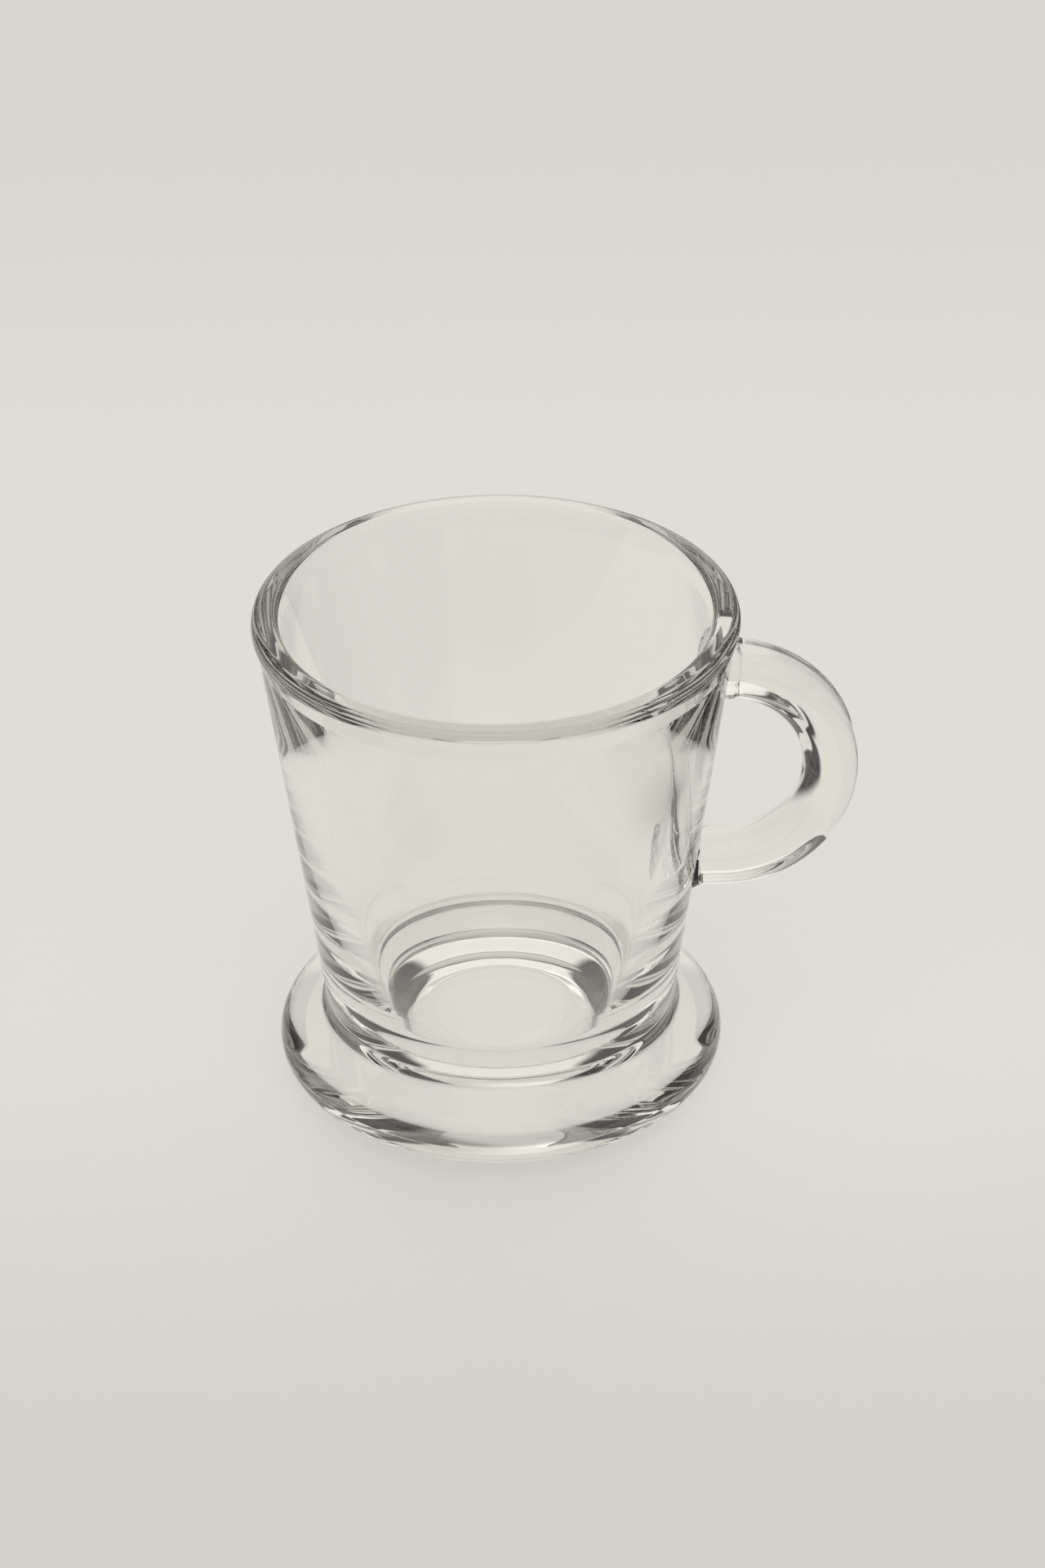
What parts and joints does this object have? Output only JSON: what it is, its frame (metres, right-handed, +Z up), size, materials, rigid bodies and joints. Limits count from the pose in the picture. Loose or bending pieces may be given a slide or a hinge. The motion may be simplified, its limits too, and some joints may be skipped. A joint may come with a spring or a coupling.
{
  "type": "glass espresso cup",
  "caption": "Small clear glass espresso cup: thick tapered bowl on a wide round foot, with a ring handle at one side for a finger.",
  "frame": {"origin": "centre of the foot's underside, on the cup's axis", "axes": "+Z up along the cup's axis, +X towards the handle"},
  "size_m": [0.0774, 0.062, 0.067],
  "materials": {
    "bowl_glass": "clear fire-polished pressed glass",
    "foot_glass": "clear fire-polished pressed glass",
    "handle_glass": "clear fire-polished pressed glass"
  },
  "bodies": {
    "root": {"bowl": "bowl_glass", "foot": "foot_glass", "handle": "handle_glass"}
  },
  "joints": []
}
